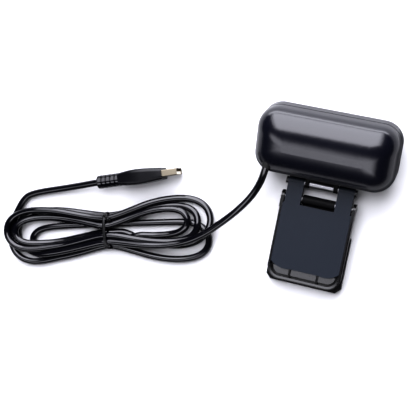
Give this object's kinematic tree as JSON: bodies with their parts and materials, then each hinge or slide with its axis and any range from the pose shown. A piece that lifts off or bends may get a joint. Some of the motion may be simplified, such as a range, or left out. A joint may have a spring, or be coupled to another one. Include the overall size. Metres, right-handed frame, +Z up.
{
  "type": "webcam with folding monitor clip",
  "caption": "Webcam head on a folding two-leg monitor clip, lying folded on a table, with its cable wound in a tied hank and ending in a USB type A plug.",
  "frame": {"origin": "centre of the flat outer face of the front leg, on the table that the webcam lies on", "axes": "+X across the webcam, +Y from the folded clip towards the top of the head, +Z up, out of the table; the head lies almost face down, its lens looking down and forward"},
  "size_m": [0.2699, 0.1511, 0.0395],
  "materials": {
    "head_plastic": "satin black moulded ABS, polished smooth",
    "window_plastic": "gloss black acrylic",
    "ring_metal": "bright turned ring",
    "lens_black": "matte black",
    "lens_glass": "coated optical glass",
    "filter_glass": "tinted filter glass",
    "chip_black": "moulded chip packages",
    "board_green": "green solder mask",
    "connector_cream": "cream nylon",
    "light_clear": "clear moulded acrylic",
    "soft_rubber": "soft black rubber",
    "screw_steel": "zinc plated steel",
    "pin_steel": "ground steel",
    "clip_black": "polished black moulded plastic",
    "leg_black": "matt black moulded plastic",
    "clip_slate": "smooth dark blue-grey moulded plastic",
    "cable_jacket": "glossy black PVC jacket",
    "tie_plastic": "black plastic-coated tie",
    "plug_plastic": "satin black moulded PVC",
    "plug_metal": "nickel plated steel",
    "contact_gold": "gold plated contacts"
  },
  "bodies": {
    "head": {"board_components": "chip_black", "board_screws": "screw_steel", "cable_connector": "connector_cream", "cable_gland": "soft_rubber", "cable_header": "connector_cream", "cable_tie": "tie_plastic", "case_screws": "screw_steel", "cord_hank": "cable_jacket", "cord_lead": "cable_jacket", "cord_tail": "cable_jacket", "front_shell": "head_plastic", "front_window": "window_plastic", "image_sensor": "chip_black", "infrared_filter": "filter_glass", "inner_lead": "cable_jacket", "lens_barrel": "lens_black", "lens_cover_glass": "lens_glass", "lens_elements": "lens_glass", "lens_holder": "lens_black", "lens_ring": "ring_metal", "light_pipe": "light_clear", "main_board": "board_green", "microphone": "ring_metal", "microphone_gasket": "soft_rubber", "neck_block": "leg_black", "neck_screws": "screw_steel", "plug_contacts": "contact_gold", "plug_grip": "plug_plastic", "plug_shell": "plug_metal", "plug_strain_relief": "cable_jacket", "plug_tongue": "connector_cream", "rear_shell": "head_plastic", "status_light": "light_clear"},
    "rear_leg": {"tilt_pin": "pin_steel", "hinge_sleeve": "pin_steel", "pin_caps": "clip_black", "friction_washers": "pin_steel", "leg_cover": "clip_slate", "rear_leg_tray": "clip_black", "rear_leg_pad": "soft_rubber", "leg_screws": "screw_steel", "jaw_pin": "pin_steel", "jaw_washers": "pin_steel"},
    "front_leg": {"front_leg": "leg_black", "front_leg_pad": "soft_rubber"}
  },
  "joints": [
    {"name": "head_tilt", "type": "hinge", "parent": "head", "child": "rear_leg", "pos_m": [0, 0.046, 0.0086], "axis": [1, 0, 0], "range_deg": [-25, 55]},
    {"name": "jaw_open", "type": "hinge", "parent": "rear_leg", "child": "front_leg", "pos_m": [0, 0.035, 0.007], "axis": [1, 0, 0], "range_deg": [0, 100]}
  ]
}
